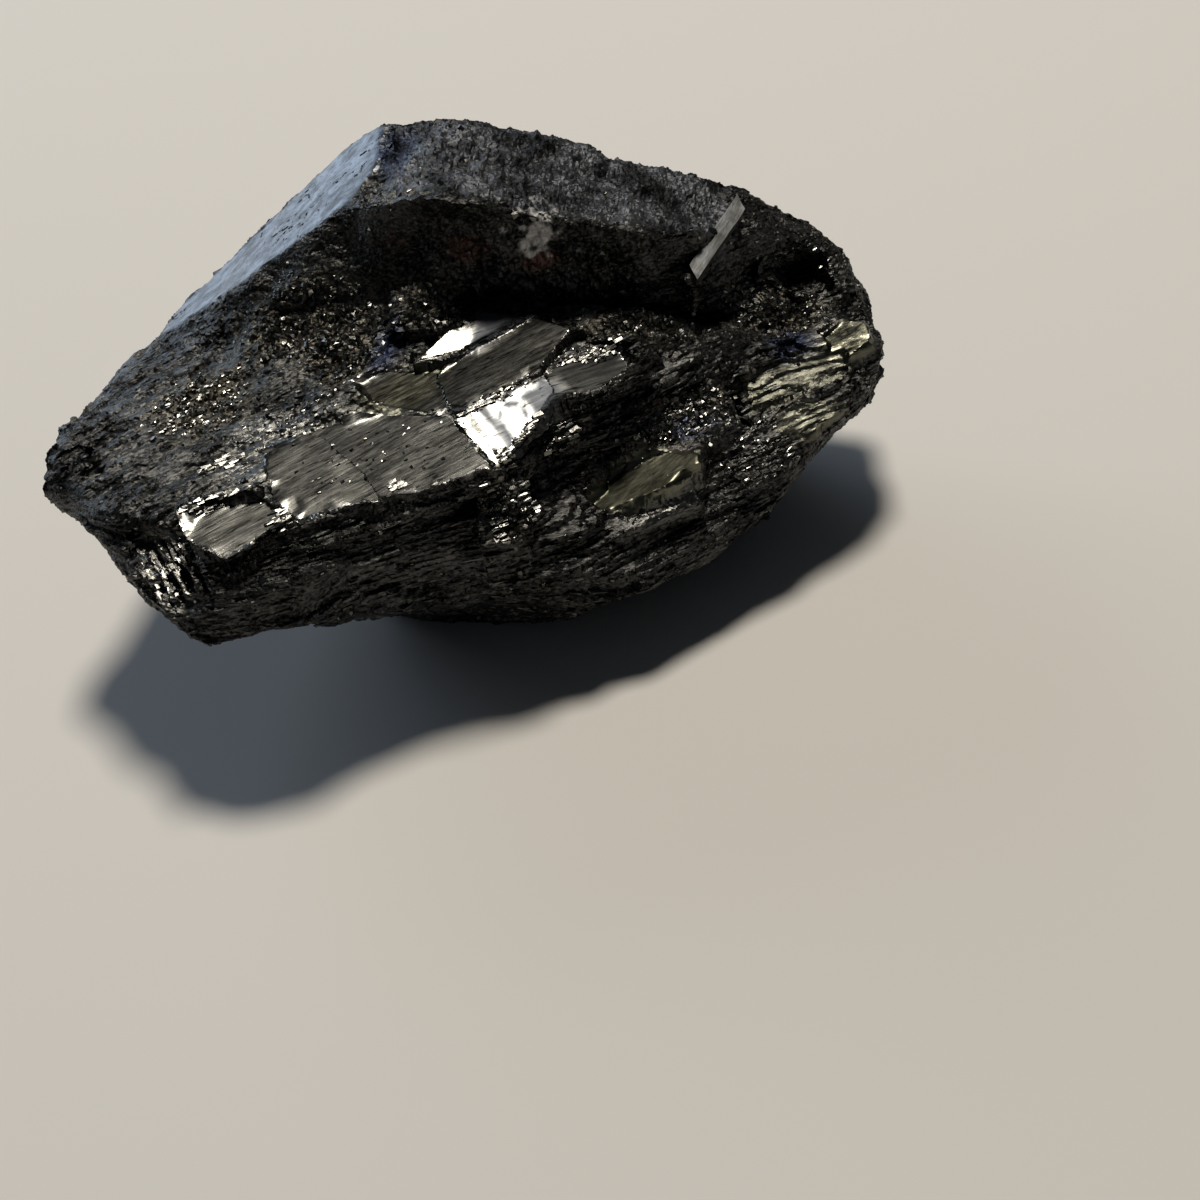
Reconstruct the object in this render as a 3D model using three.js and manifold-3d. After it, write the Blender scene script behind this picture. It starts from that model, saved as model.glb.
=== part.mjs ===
// Massive stibnite: one hand-sized lump of bladed antimony sulphide, broken from a vein.
// It is a single natural solid. +X runs to the pointed right end, -Y is the front,
// +Z is up, and the origin is under the middle of the stone, on the face it rests on.
import * as THREE from 'three';
import { ConvexGeometry } from 'three/addons/geometries/ConvexGeometry.js';
import { LoftGeometry } from 'three/addons/geometries/LoftGeometry.js';
import { ImprovedNoise } from 'three/addons/math/ImprovedNoise.js';
import { mergeVertices } from 'three/addons/utils/BufferGeometryUtils.js';
import Module from 'manifold-3d';

// ---- driving dimensions, mm ----
const LENGTH = 66;
const DEPTH = 46;
const HEIGHT = 34;
const SECTIONS = 48;

// The crystal blades all run this way, nearly level, from the front left to the back right.
const BLADE_AXIS = new THREE.Vector3(0.83, 0.55, -0.08).normalize();
const BLADE_SIDE = new THREE.Vector3(0, 0, 1).cross(BLADE_AXIS).normalize();
const BLADE_UP = BLADE_AXIS.clone().cross(BLADE_SIDE);

// Roughness of the broken surface: how far it wanders, and over what distance.
const WANDER = [
  { depth: 1.5, reach: 13, seed: 3.7 },
  { depth: 0.75, reach: 5.2, seed: 21.3 },
];
// Splintering along the blades: ridges much longer than they are wide.
const SPLINTER = { depth: 0.75, width: 2.6, length: 15, seed: 44.1 };

// ---- the lines that run along the stone from its left end to its right end ----
// A line is a list of corners [x, y, z]. The surface between two lines is a band.
// `strips` divides the band up to the next line. `rough` scales the roughness on the line.
const LINES = [
  { name: 'front foot', strips: 3, rough: 0.7, at: [
    [-31.4, -17.4, 16.6], [-29, -18, 13.6], [-22, -21, 11.4], [-15, -16, 4.5], [-10, -14, 0],
    [-3, -15.4, 0], [4, -15.8, 0], [10, -14.4, 0], [17, -9.6, 0], [23, -4.6, 1.5], [28, -0.5, 6.5],
    [33.8, -0.4, 11.6] ] },
  { name: 'lower shoulder', strips: 4, rough: 0.9, at: [
    [-31.4, -18, 17], [-29, -19.2, 14], [-25, -23.2, 13.6], [-21.4, -29.4, 12.9], [-17, -31.6, 13.8],
    [-11, -29.6, 13.4], [-8, -26.6, 12], [-4, -23.4, 9], [1, -21.6, 6.6], [5.5, -20.2, 5],
    [10, -20.1, 4.4], [14, -19.8, 5.2], [18, -15.6, 6], [23, -12.8, 7.4], [28, -7.2, 9.4],
    [31, -4.3, 10.6], [33.8, -0.9, 12] ] },
  { name: 'bulge', strips: 5, rough: 1, at: [
    [-31.4, -18.2, 17.6], [-29, -20, 16.4], [-25, -24.2, 16.6], [-21, -29.6, 17], [-16, -31, 17.2],
    [-11, -29, 16.4], [-7, -26, 15], [-2, -23.4, 13.5], [4, -22.6, 11], [10, -21.6, 9.6],
    [14, -19.2, 8.8], [18, -16, 8.6], [22, -13.2, 9.2], [26, -9.6, 10.4], [30, -6, 12],
    [33.8, -1, 12.8] ] },
  { name: 'belly top', strips: 4, rough: 0.8, at: [
    [-31.4, -18, 18.4], [-29, -20.2, 18.4], [-25, -24, 18.6], [-20, -29.2, 18.6], [-14, -29, 18],
    [-8, -25.8, 16.8], [-2, -23.4, 16.2], [3, -21.4, 15.2], [8, -18.6, 14], [14, -14.4, 12.8],
    [20, -9.6, 12.8], [26, -6, 13.6], [30, -3.6, 14.4], [33.8, -0.8, 13.4] ] },
  { name: 'crevice', strips: 3, rough: 0.8, at: [
    [-31.4, -17.8, 18.8], [-29, -20, 19.2], [-20, -28.2, 19.4], [-14, -28.2, 18.7],
    [-8, -25.2, 17.8], [-2, -22.8, 17.2], [3, -19.6, 16.6], [7, -14.2, 14.4], [14, -7.8, 12],
    [18, -4.4, 11.4], [23, -3.6, 12], [28, -2.2, 13.6], [33.8, -0.5, 13.6] ] },
  { name: 'shelf lip', strips: 8, rough: 0.6, at: [
    [-31.4, -17.5, 19.2], [-29, -19.4, 20], [-20, -27, 20], [-14, -27, 19.1],
    [-8, -24.2, 19.2], [-2, -22.4, 19], [4, -19.8, 19], [9, -14.8, 18.4], [14, -10.6, 17],
    [18, -7.2, 15.6], [24, -2.4, 14.8], [30, -0.2, 15.6], [33.8, -0.2, 13.8] ] },
  { name: 'shelf middle', strips: 7, rough: 0.35, at: [
    [-31.4, -16.8, 19.8], [-28, -14.6, 20.8], [-22, -17, 20.8], [-14, -18, 20.5], [-8, -16, 21],
    [0, -14, 21.5], [6, -11, 21.7], [12, -7.4, 21.2], [18, -3.8, 18.8], [24, -0.4, 15.6],
    [30, 1.8, 15.8], [33.8, 0.4, 14.2] ] },
  { name: 'shelf back', strips: 3, rough: 0.6, at: [
    [-31.4, -16, 20], [-28, -9, 20.8], [-22, -8, 21.2], [-14, -9.4, 22], [-8, -8.4, 22.6],
    [0, -6.6, 23], [6, -5, 22.7], [12, -3, 21.4], [18, -1.2, 18.4], [24, 1.4, 15.4],
    [30, 3.6, 15.6], [33.8, 1, 14] ] },
  { name: 'wall foot', strips: 5, rough: 0.8, at: [
    [-31.4, -15.8, 20], [-28, -6.4, 20.6], [-22, -4.4, 21], [-14, -5, 23.4], [-8, -4.6, 24.6],
    [-3, -4.2, 24], [3, -2.8, 21.8], [9, -1.4, 19.2], [15, 0.6, 16.2], [20, 2, 15.4],
    [25, 3.6, 16], [30, 5, 15.6], [33.8, 1.2, 14] ] },
  { name: 'ledge', strips: 6, rough: 0.55, at: [
    [-31.4, -15.6, 20], [-28, -4.6, 19.8], [-25.5, -1.4, 20.2], [-20.4, -1.7, 22.9],
    [-12, -0.6, 28.1], [-7.9, -0.5, 30.6], [-5, -2.6, 31.8], [1, -4.6, 33], [5, -4.6, 32],
    [7.5, -4, 31], [14, -2.2, 28.4], [18.4, 0, 25.4], [21, 3.4, 22.8], [24, 6.4, 20.6],
    [28, 8, 17.8], [30.6, 6.8, 16], [33.8, 1.4, 14] ] },
  { name: 'crest', strips: 4, rough: 0.8, at: [
    [-31.4, -15.4, 19.8], [-28, -3.2, 19.9], [-25.6, 1.2, 20], [-18.6, 4.8, 24.1],
    [-8.8, 8.2, 31.1], [-5, 8.4, 33.5], [-0.6, 9.6, 33.7], [3, 10.2, 31.6], [7, 9.8, 29.2],
    [14.6, 8.8, 26.8], [18, 9.2, 25.1], [22.6, 10.6, 23.2], [26.6, 11.6, 19.8], [29, 11.4, 17.2],
    [30.6, 9.6, 16.4], [31.8, 4.8, 14.6], [33, 2.4, 14], [33.8, 1.6, 13.6] ] },
  { name: 'back shoulder', strips: 5, rough: 1, at: [
    [-31.4, -15.2, 18.8], [-28, -3, 17], [-22, 4.6, 18], [-14, 9.6, 22.4], [-6, 11.6, 26],
    [2, 12.8, 25.4], [10, 12.8, 22.6], [18, 12.4, 19.2], [26, 13, 15.4], [31, 9.6, 13.4],
    [33.8, 2.2, 13] ] },
  { name: 'back bulge', strips: 5, rough: 1, at: [
    [-31.4, -15.4, 17.6], [-28, -5, 14.8], [-22, 2.8, 12.4], [-14, 9, 12.6], [-6, 13.4, 13],
    [2, 14.6, 12], [10, 14.2, 11], [18, 13, 10.4], [26, 10.6, 10.4], [31, 7, 11.6],
    [33.8, 2, 12.4] ] },
  { name: 'back foot', strips: 6, rough: 0.8, at: [
    [-31.4, -16, 16.8], [-28, -9, 13], [-22, -4.4, 8.6], [-15, 1.6, 3], [-9, 7.4, 0], [2, 10, 0],
    [12, 9.4, 0], [20, 7.4, 0.8], [26, 5.6, 5.4], [31, 4.6, 10], [33.8, 1.2, 11.8] ] },
];

// The flat cleavage face at the upper left lies between the ledge and the crest. It runs
// from x = left to x = right and stays smooth.
const FACE = { lines: ['ledge', 'crest'], left: -25, right: -5, fade: 2, smooth: 0.9 };

// ---- helpers: closed shapes to solids, and back ----
const wasm = await Module();
wasm.setup();

function solidOf(geometry) {
  const shell = new THREE.BufferGeometry();
  shell.setAttribute('position', geometry.attributes.position);
  shell.setIndex(geometry.index);
  const merged = mergeVertices(shell, 1e-4);
  return new wasm.Manifold(new wasm.Mesh({
    numProp: 3,
    vertProperties: merged.attributes.position.array,
    triVerts: new Uint32Array(merged.index.array),
  }));
}

function geometryOf(solid) {
  const mesh = solid.getMesh();
  const geometry = new THREE.BufferGeometry();
  geometry.setAttribute('position', new THREE.BufferAttribute(mesh.vertProperties, 3));
  geometry.setIndex(new THREE.BufferAttribute(mesh.triVerts, 1));
  return geometry;
}

// Joining pieces can trap small voids. The stone is the largest closed surface alone.
function outermost(geometry) {
  const { array: index } = geometry.index;
  const { array: place } = geometry.attributes.position;
  const leader = Array.from({ length: place.length / 3 }, (_, vertex) => vertex);
  const rootOf = (vertex) => {
    let root = vertex;
    while (leader[root] !== root) root = leader[root];
    leader[vertex] = root;
    return root;
  };
  for (let at = 0; at < index.length; at += 3) {
    leader[rootOf(index[at + 1])] = rootOf(index[at]);
    leader[rootOf(index[at + 2])] = rootOf(index[at]);
  }
  const volumes = new Map();
  const corner = (at) => new THREE.Vector3().fromArray(place, 3 * index[at]);
  for (let at = 0; at < index.length; at += 3) {
    const volume = corner(at).dot(corner(at + 1).cross(corner(at + 2))) / 6;
    const root = rootOf(index[at]);
    volumes.set(root, (volumes.get(root) ?? 0) + volume);
  }
  const [largest] = [...volumes].sort(([, a], [, b]) => b - a)[0];
  const kept = index.filter((vertex) => rootOf(vertex) === largest);
  const shell = new THREE.BufferGeometry();
  shell.setAttribute('position', geometry.attributes.position);
  shell.setIndex(new THREE.BufferAttribute(kept, 1));
  return shell;
}

const lump = (corners) => (
  solidOf(new ConvexGeometry(corners.map((corner) => new THREE.Vector3(...corner))))
);

// A blade is a flat splinter of crystal from one end to the other: `wide` across, `thick`
// upwards, with bevelled edges, slanting ends, and narrower at its far end.
function blade({ from, to, wide, thick, tip = 0.8, slant = 0.6, tilt = 0 }) {
  const start = new THREE.Vector3(...from);
  const end = new THREE.Vector3(...to);
  const along = end.clone().sub(start).normalize();
  const side = new THREE.Vector3(0, 0, 1).cross(along).normalize();
  const up = along.clone().cross(side).addScaledVector(side, -tilt).normalize();
  side.crossVectors(up, along);
  const profile = [[-0.5, -1], [0.5, -1], [0.5, -0.2], [0.36, 0], [-0.4, 0], [-0.5, -0.12]];
  const corners = [[start, 1, -1], [end, tip, 1]].flatMap(([at, scale, way]) => (
    profile.map(([u, v]) => at.clone()
      .addScaledVector(side, u * wide * scale)
      .addScaledVector(up, v * thick)
      .addScaledVector(along, (u * slant - v * 0.3) * wide * way))
  ));
  return solidOf(new ConvexGeometry(corners));
}

// A plate is a flat sheet of crystal: the corners of its upper face, in order, and how far
// its edges go down. They flare outwards to its foot.
const PLATE = { thick: 1.6, flare: 1.1 };

function plate(outline) {
  const upper = outline.map((corner) => new THREE.Vector3(...corner));
  const middle = upper.reduce((sum, corner) => sum.add(corner), new THREE.Vector3())
    .divideScalar(upper.length);
  const lower = upper.map((corner) => (
    corner.clone().sub(middle).multiplyScalar(PLATE.flare).add(middle)
      .setZ(corner.z - PLATE.thick)
  ));
  return solidOf(new ConvexGeometry([...upper, ...lower]));
}

// ---- roughness ----
const { lerp, smoothstep } = THREE.MathUtils;
const field = new ImprovedNoise();

function wander(point) {
  const shift = new THREE.Vector3();
  for (const { depth, reach, seed } of WANDER) {
    const q = point.clone().divideScalar(reach).addScalar(seed);
    shift.x += depth * field.noise(q.x, q.y, q.z);
    shift.y += depth * field.noise(q.y + 5, q.z + 9, q.x + 2);
    shift.z += depth * field.noise(q.z + 11, q.x + 7, q.y + 13);
  }
  return shift;
}

function splinter(point) {
  const u = point.dot(BLADE_AXIS) / SPLINTER.length;
  const v = point.dot(BLADE_SIDE) / SPLINTER.width;
  const w = point.dot(BLADE_UP) / SPLINTER.width;
  const ridge = 1 - 2 * Math.abs(field.noise(u + SPLINTER.seed, v, w));
  return BLADE_UP.clone().multiplyScalar(0.6 * ridge).addScaledVector(BLADE_SIDE, -0.8 * ridge)
    .multiplyScalar(SPLINTER.depth);
}

function weather(point, rough) {
  const shift = wander(point).add(splinter(point)).multiplyScalar(rough);
  shift.z *= smoothstep(point.z, 0.2, 3);
  return point.clone().add(shift);
}

// ---- the main body: sections across the stone, through its lines ----
function smoothness(name, x) {
  if (!FACE.lines.includes(name)) return 0;
  const fromLeft = smoothstep(x, FACE.left - FACE.fade, FACE.left);
  const fromRight = 1 - smoothstep(x, FACE.right, FACE.right + FACE.fade);
  return FACE.smooth * fromLeft * fromRight;
}

function section(x) {
  const corners = LINES.map(({ at }) => {
    const track = new THREE.LinearInterpolant(at.map((p) => p[0]), at.flatMap((p) => [p[1], p[2]]), 2);
    const [y, z] = track.evaluate(x);
    return new THREE.Vector3(x, y, z);
  });
  const roughness = LINES.map(({ name, rough }) => rough * (1 - smoothness(name, x)));
  const outline = LINES.flatMap(({ strips }, line) => {
    const next = (line + 1) % LINES.length;
    return Array.from({ length: strips }, (_, strip) => {
      const share = strip / strips;
      const point = corners[line].clone().lerp(corners[next], share);
      return weather(point, lerp(roughness[line], roughness[next], share));
    });
  });
  return outline.reverse();
}

const leftEnd = LINES[0].at[0][0];
const rightEnd = LINES[0].at.at(-1)[0];
const sections = Array.from({ length: SECTIONS + 1 }, (_, count) => (
  section(lerp(leftEnd, rightEnd, count / SECTIONS))
));
const body = solidOf(new LoftGeometry(sections, { capStart: true, capEnd: true }));

// ---- blades and blocks that stand proud of the body ----
const proud = [
  // the shelf's flat plates, from the narrow bright one at the back to the front edge
  plate([[-3, -10.7, 23], [1.1, -9.3, 23.1], [5.4, -5.8, 23.8], [2.1, -5.2, 24], [0.2, -6.7, 23.8]]),
  plate([[-1.8, -10.9, 22.6], [1.2, -9, 22.8], [5.5, -5.1, 23.2], [9.8, -7.5, 22.9],
    [7.2, -11.7, 22.5], [1.2, -15.9, 22.1], [-0.4, -13, 22.4]]),
  plate([[-8.2, -10.9, 21.9], [-5.5, -9.8, 22.1], [-0.7, -10.6, 22.3], [0.6, -13.7, 22],
    [-0.3, -15.2, 21.8], [-6, -13.4, 21.7]]),
  plate([[7.2, -11, 22.2], [9.7, -7.6, 22.6], [14.7, -7.6, 21.9], [15.8, -9.2, 21.3],
    [11.8, -12.7, 21.2], [8, -14.2, 21.4]]),
  plate([[0.6, -15.5, 21.8], [7.2, -11.3, 22.4], [8.9, -12.6, 22], [6.2, -15.8, 21.3],
    [5.7, -18.2, 20.7], [4.4, -20.5, 20.1]]),
  plate([[-11.3, -15.9, 20.8], [-6.7, -14.2, 21.2], [0.4, -14.9, 21.2], [4.3, -20.5, 19.9],
    [-1.4, -22.8, 19.5], [-4.4, -22.8, 19.4]]),
  plate([[-14.1, -17.4, 20.7], [-8.9, -15.2, 21.3], [-5.2, -19.7, 20.6], [-3.9, -23.2, 19.9],
    [-10.4, -24.7, 19.6], [-12.6, -22.4, 19.8]]),
  // the smooth plate on top of the belly, under the crevice
  plate([[8.4, -16.3, 13.3], [12.4, -14.1, 13.7], [17.9, -13.5, 12.9], [18.6, -15.7, 11.7],
    [13.9, -18, 11.7], [9.9, -19, 12.1]]),
  // the flat plate on the left lobe
  lump([[-19, -24.4, 21.9], [-12.6, -23.2, 21.9], [-10.6, -25.8, 21], [-14.6, -29.6, 20.2],
    [-18.6, -27.2, 20.8], [-18.6, -24, 17], [-12, -22, 17], [-10, -25, 17], [-14.4, -29.2, 17]]),
  // the knob at the left tip
  lump([[-31.8, -16.4, 18.8], [-31.2, -12.4, 20.4], [-29.4, -12.8, 21.6], [-28, -15.6, 21.2],
    [-29.2, -18.6, 19.6], [-30.6, -18.6, 17.6], [-29.8, -15, 15.6], [-27.6, -13, 17]]),
  // two blocks at the right end, one over the other
  lump([[23, -3.2, 14.6], [33.2, -1.8, 13.8], [33.5, 1, 14], [28.6, 1.6, 16.2], [24, 1, 15.8],
    [28.4, -1.6, 15.9], [33.3, -0.6, 15], [32, -2.8, 12], [24, -3.4, 12], [30, 2.6, 12]]),
  lump([[25, -4.4, 13.8], [31.2, -3.6, 13.8], [31.6, -4.4, 12.6], [30.6, -5.2, 11.4],
    [25, -8.2, 11.4], [24.6, -6.8, 13.2], [26, -3, 10], [30.4, -2.4, 10.4]]),
  // the thin plate standing on the right end of the wall
  blade({ from: [22.4, 7.4, 24.7], to: [18.2, -1, 22.6], wide: 1.3, thick: 3.4, slant: 0.2 }),
  // the granular knob in the corner between the wall and the shelf
  lump([[-5.6, -7, 24.2], [-4.4, -5, 25.6], [-2, -4.6, 26], [-0.2, -5.4, 25.2], [1.4, -6.8, 23.8],
    [-1.4, -8.6, 24.2], [-4, -8.4, 24.4], [-4.6, -3, 23], [-1, -3, 22], [-2, -7, 22]]),
];

// thin layers that step down from the shelf lip into the crevice
const LAYERS = 4;
for (let layer = 0; layer < LAYERS; layer += 1) {
  const stagger = 1.6 * Math.sin(2.4 * layer);
  proud.push(blade({
    from: [6.4 + layer + stagger, -13.9 - 0.2 * layer + 0.7 * stagger, 20.2 - 1.15 * layer],
    to: [19 + 0.4 * layer + stagger, -4 - 0.2 * layer + 0.7 * stagger, 17.9 - 1.05 * layer],
    wide: 3 - 0.1 * layer,
    thick: 0.8,
    slant: 0.9,
  }));
}

// ---- hollows ----
const hollows = [
  // the groove down the rough slope under the flat face
  lump([[-4.6, -3.4, 27.6], [-7.6, -5.4, 28], [-12.6, -12.8, 24.6], [-8.8, -13.6, 24.2],
    [-7, -5, 23], [-10.2, -11.8, 21.4]]),
  // the cavity near the right end
  lump([[24.8, 7.4, 19], [29.6, 8.4, 18], [30, 5.6, 15.2], [25.4, 4.6, 15.6], [27, 9, 15.4],
    [25.6, 8.4, 16.4], [26, 3.6, 18.4], [29.2, 4, 17.4]]),
  // the hollow beside the knob at the left tip
  lump([[-29.4, -16.4, 20.4], [-27, -16, 21.6], [-26.6, -17.8, 21], [-28.8, -19.2, 19],
    [-28.4, -16.6, 17.6], [-27.2, -17.2, 18]]),
  // the open notch on the front of the left lobe
  lump([[-23.4, -24.4, 20.8], [-19, -26, 22.6], [-15.4, -31.4, 19.6], [-18.6, -32.6, 16.2],
    [-22.8, -28, 17.2], [-21.4, -24.8, 17.8], [-18.4, -25.8, 18.6], [-16.4, -28.8, 16.6],
    [-18.4, -29.2, 15.6], [-20.8, -26.2, 16.6]]),
];

// parallel ribs that cross the notch
const RIBS = 4;
const ribs = Array.from({ length: RIBS }, (_, rib) => blade({
  from: [-22 + 1.3 * rib, -24.4 - 0.6 * rib, 18.6 + 0.6 * rib],
  to: [-19.2 + 1.2 * rib, -29.4 - 0.2 * rib, 16.6 + 0.5 * rib],
  wide: 0.7,
  thick: 2.2,
}));

// ---- flat breaks across the back and underside ----
// Each break is a plane: the way it faces, and how deep it bites into the body.
const BREAK_SIZE = 90;
const breaks = [
  { facing: [-0.62, 0.7, -0.35], bite: 2.6 },
  { facing: [0.35, 0.9, -0.15], bite: 1.4 },
  { facing: [-0.15, 0.9, -0.45], bite: 1.6 },
  { facing: [-0.5, -0.35, -0.8], bite: 2.2 },
  { facing: [0.6, 0.25, -0.76], bite: 2 },
  { facing: [0.3, -0.6, -0.74], bite: 1.2 },
];

function breakOff({ facing, bite }, solid) {
  const away = new THREE.Vector3(...facing).normalize();
  const { array } = geometryOf(solid).attributes.position;
  const corner = new THREE.Vector3();
  let furthest = -Infinity;
  for (let at = 0; at < array.length; at += 3) {
    furthest = Math.max(furthest, corner.fromArray(array, at).dot(away));
  }
  const slab = new THREE.BoxGeometry(BREAK_SIZE, BREAK_SIZE, BREAK_SIZE);
  slab.translate(0, 0, furthest - bite + BREAK_SIZE / 2);
  slab.applyQuaternion(new THREE.Quaternion().setFromUnitVectors(new THREE.Vector3(0, 0, 1), away));
  return solid.subtract(solidOf(slab));
}

let rock = body;
for (const plane of breaks) rock = breakOff(plane, rock);
for (const piece of proud) rock = rock.add(piece);
for (const hollow of hollows) rock = rock.subtract(hollow);
for (const rib of ribs) rock = rock.add(rib);
const stone = outermost(geometryOf(rock));

// ---- to size, with the origin under the middle of the stone ----
stone.computeBoundingBox();
const found = stone.boundingBox.getSize(new THREE.Vector3());
stone.scale(LENGTH / found.x, DEPTH / found.y, HEIGHT / found.z);
stone.computeBoundingBox();
const centre = stone.boundingBox.getCenter(new THREE.Vector3());
stone.translate(-centre.x, -centre.y, -stone.boundingBox.min.z);

const material = new THREE.MeshStandardMaterial({
  name: 'stibnite', color: 0x4a4d52, metalness: 0.9, roughness: 0.4,
});
const mesh = new THREE.Mesh(stone, material);
mesh.name = 'stibnite_stone';
const group = new THREE.Group();
group.add(mesh);
export default group;
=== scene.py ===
import math

import bmesh
import bpy
import numpy as np
from mathutils import Matrix, Vector


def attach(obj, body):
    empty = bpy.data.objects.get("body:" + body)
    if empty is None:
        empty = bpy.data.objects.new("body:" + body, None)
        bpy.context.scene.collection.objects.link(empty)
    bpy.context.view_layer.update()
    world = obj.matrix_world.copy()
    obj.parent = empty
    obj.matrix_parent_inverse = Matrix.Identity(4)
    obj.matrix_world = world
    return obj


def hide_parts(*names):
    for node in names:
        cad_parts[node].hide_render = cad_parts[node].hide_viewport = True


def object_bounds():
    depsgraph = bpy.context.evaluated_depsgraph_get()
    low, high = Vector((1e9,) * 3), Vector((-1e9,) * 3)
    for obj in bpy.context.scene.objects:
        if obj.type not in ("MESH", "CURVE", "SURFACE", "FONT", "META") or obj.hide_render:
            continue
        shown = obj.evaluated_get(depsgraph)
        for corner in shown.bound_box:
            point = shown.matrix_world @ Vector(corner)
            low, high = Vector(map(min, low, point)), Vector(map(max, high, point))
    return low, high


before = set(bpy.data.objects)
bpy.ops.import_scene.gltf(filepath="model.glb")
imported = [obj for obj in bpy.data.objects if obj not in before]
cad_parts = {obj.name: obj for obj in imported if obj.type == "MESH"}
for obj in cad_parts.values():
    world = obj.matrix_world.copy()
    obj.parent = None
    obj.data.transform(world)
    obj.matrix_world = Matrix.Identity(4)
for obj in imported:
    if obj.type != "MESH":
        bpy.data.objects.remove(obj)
cad_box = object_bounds()
scene = bpy.context.scene

# ---------------------------------------------------------------------------------------------
# The stone: one lump of massive stibnite, an antimony sulphide that is soft, heavy and lead grey.
# It grew in a vein as long blades packed side by side, and every side of it is a break.
# Along the blades it splits into flat shining sheets; across them it snaps rough and sparkling.
# ---------------------------------------------------------------------------------------------
STONE = "stibnite_stone"
MM = 0.001
WELD = 0.001 * MM
SKIN_STEP = 0.14 * MM
SKIN_TRIANGLES = 770000
SLICES = 4

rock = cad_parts[STONE].copy()
rock.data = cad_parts[STONE].data.copy()
rock.name = rock.data.name = "stone_skin"
scene.collection.objects.link(rock)
shell = bmesh.new()
shell.from_mesh(rock.data)
bmesh.ops.remove_doubles(shell, verts=shell.verts, dist=WELD)
# Wedges of broken blades fill the cleft under the shelf, most of them towards its right end. Each
# is given by the corners of its upper side (back left, back right, front right, front left), in
# millimetres, and the height of its foot.
WEDGES = [
    ([(9.2, -4.4, 16.2), (19.6, 4.7, 16.2), (21.4, 0.0, 14.0), (10.0, -5.0, 14.6)], 11.3),
    ([(9.6, -5.0, 14.0), (18.4, -1.6, 14.6), (18.4, -5.2, 13.8), (9.0, -7.6, 13.0)], 11.3),
    ([(20.4, 4.9, 15.2), (29.6, 7.8, 15.0), (29.8, 4.6, 13.7), (21.4, 1.4, 13.2)], 10.8),
    ([(1.6, -11.8, 19.5), (5.2, -10.0, 19.3), (5.8, -13.2, 15.0), (1.8, -14.8, 15.0)], 11),
    ([(5.6, -6.6, 17.8), (10.8, -4.6, 15.8), (10.8, -8.2, 12.9), (5.6, -10.6, 13.4)], 11),
]
for upper_side, foot in WEDGES:
    for vert in bmesh.ops.create_cube(shell, size=2)["verts"]:
        side = (round(vert.co.x), round(vert.co.y))
        x, y, z = upper_side[((-1, 1), (1, 1), (1, -1), (-1, -1)).index(side)]
        vert.co = Vector((x, y, z if vert.co.z > 0 else foot)) * MM
shell.to_mesh(rock.data)
shell.free()


def settle(piece, name, kind, **values):
    """Gives the piece a modifier and makes its result the piece's own mesh."""
    modifier = piece.modifiers.new(name, kind)
    for key, value in values.items():
        setattr(modifier, key, value)
    seen = piece.evaluated_get(bpy.context.evaluated_depsgraph_get())
    made = bpy.data.meshes.new_from_object(seen)
    piece.modifiers.remove(modifier)
    old, piece.data = piece.data, made
    bpy.data.meshes.remove(old)
    made.name = piece.name


def places(mesh):
    """The mesh's corners, in millimetres."""
    flat = np.empty(3 * len(mesh.vertices), np.float32)
    mesh.vertices.foreach_get("co", flat)
    return flat.reshape(-1, 3).astype(float) / MM


def facings(mesh):
    """The direction out of the surface at each corner."""
    flat = np.empty(3 * len(mesh.vertices), np.float32)
    mesh.vertex_normals.foreach_get("vector", flat)
    return flat.reshape(-1, 3).astype(float)


def move_to(mesh, points):
    mesh.vertices.foreach_set("co", (points * MM).astype(np.float32).ravel())
    mesh.update()


def ease(share):
    """A smooth step from 0 to 1."""
    share = np.clip(share, 0, 1)
    return share * share * (3 - 2 * share)


def unit(vectors):
    return vectors / np.maximum(np.linalg.norm(vectors, axis=1, keepdims=True), 1e-9)


CHANCE = np.random.default_rng(51).random((8192, 4))


def chance(square, seed):
    """Four steady random numbers for each square of a grid."""
    i, j, k = square.astype(np.int64).T
    return CHANCE[(i * 73856093 ^ j * 19349663 ^ k * 83492791 ^ seed * 2654435761) & 8191]


def drift(points, seed):
    """Smooth noise from about -1 to 1, one unit from bump to bump."""
    low = np.floor(points)
    part = points - low
    blend = part * part * part * (part * (part * 6 - 15) + 10)
    total = np.zeros(len(points))
    for corner in np.ndindex(2, 2, 2):
        way = chance(low + corner, seed)[:, :3] * 2 - 1
        share = np.prod(np.where(corner, blend, 1 - blend), axis=1)
        total += share * np.einsum("ij,ij->i", way, part - corner)
    return total * 1.6


def grains(points, seed):
    """Splits space into cells about one unit across. For each point: its cell's number, the
    cell's own random numbers, and the distance to the next cell."""
    low = np.floor(points)
    nearest = np.full(len(points), 9.0)
    second = nearest.copy()
    luck = np.zeros((len(points), 4))
    home = np.zeros_like(points)
    for corner in np.ndindex(3, 3, 3):
        square = low + np.array(corner) - 1
        draw = chance(square, seed)
        gap = np.linalg.norm(points - square - draw[:, :3], axis=1)
        closer = gap < nearest
        second = np.where(closer, nearest, np.minimum(second, gap))
        nearest = np.where(closer, gap, nearest)
        luck[closer] = draw[closer]
        home[closer] = square[closer]
    _, cell = np.unique(home, axis=0, return_inverse=True)
    return cell.ravel(), luck, second - nearest


def inside(points, outline):
    """How far inside this outline each point lies, seen from above: below 0 outside it."""
    found = np.full(len(points), 99.0)
    for (x0, y0), (x1, y1) in zip(outline, outline[1:] + outline[:1]):
        across = np.array((y0 - y1, x1 - x0)) / math.hypot(x1 - x0, y1 - y0)
        found = np.minimum(found, (points[:, :2] - (x0, y0)) @ across)
    return found


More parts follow.
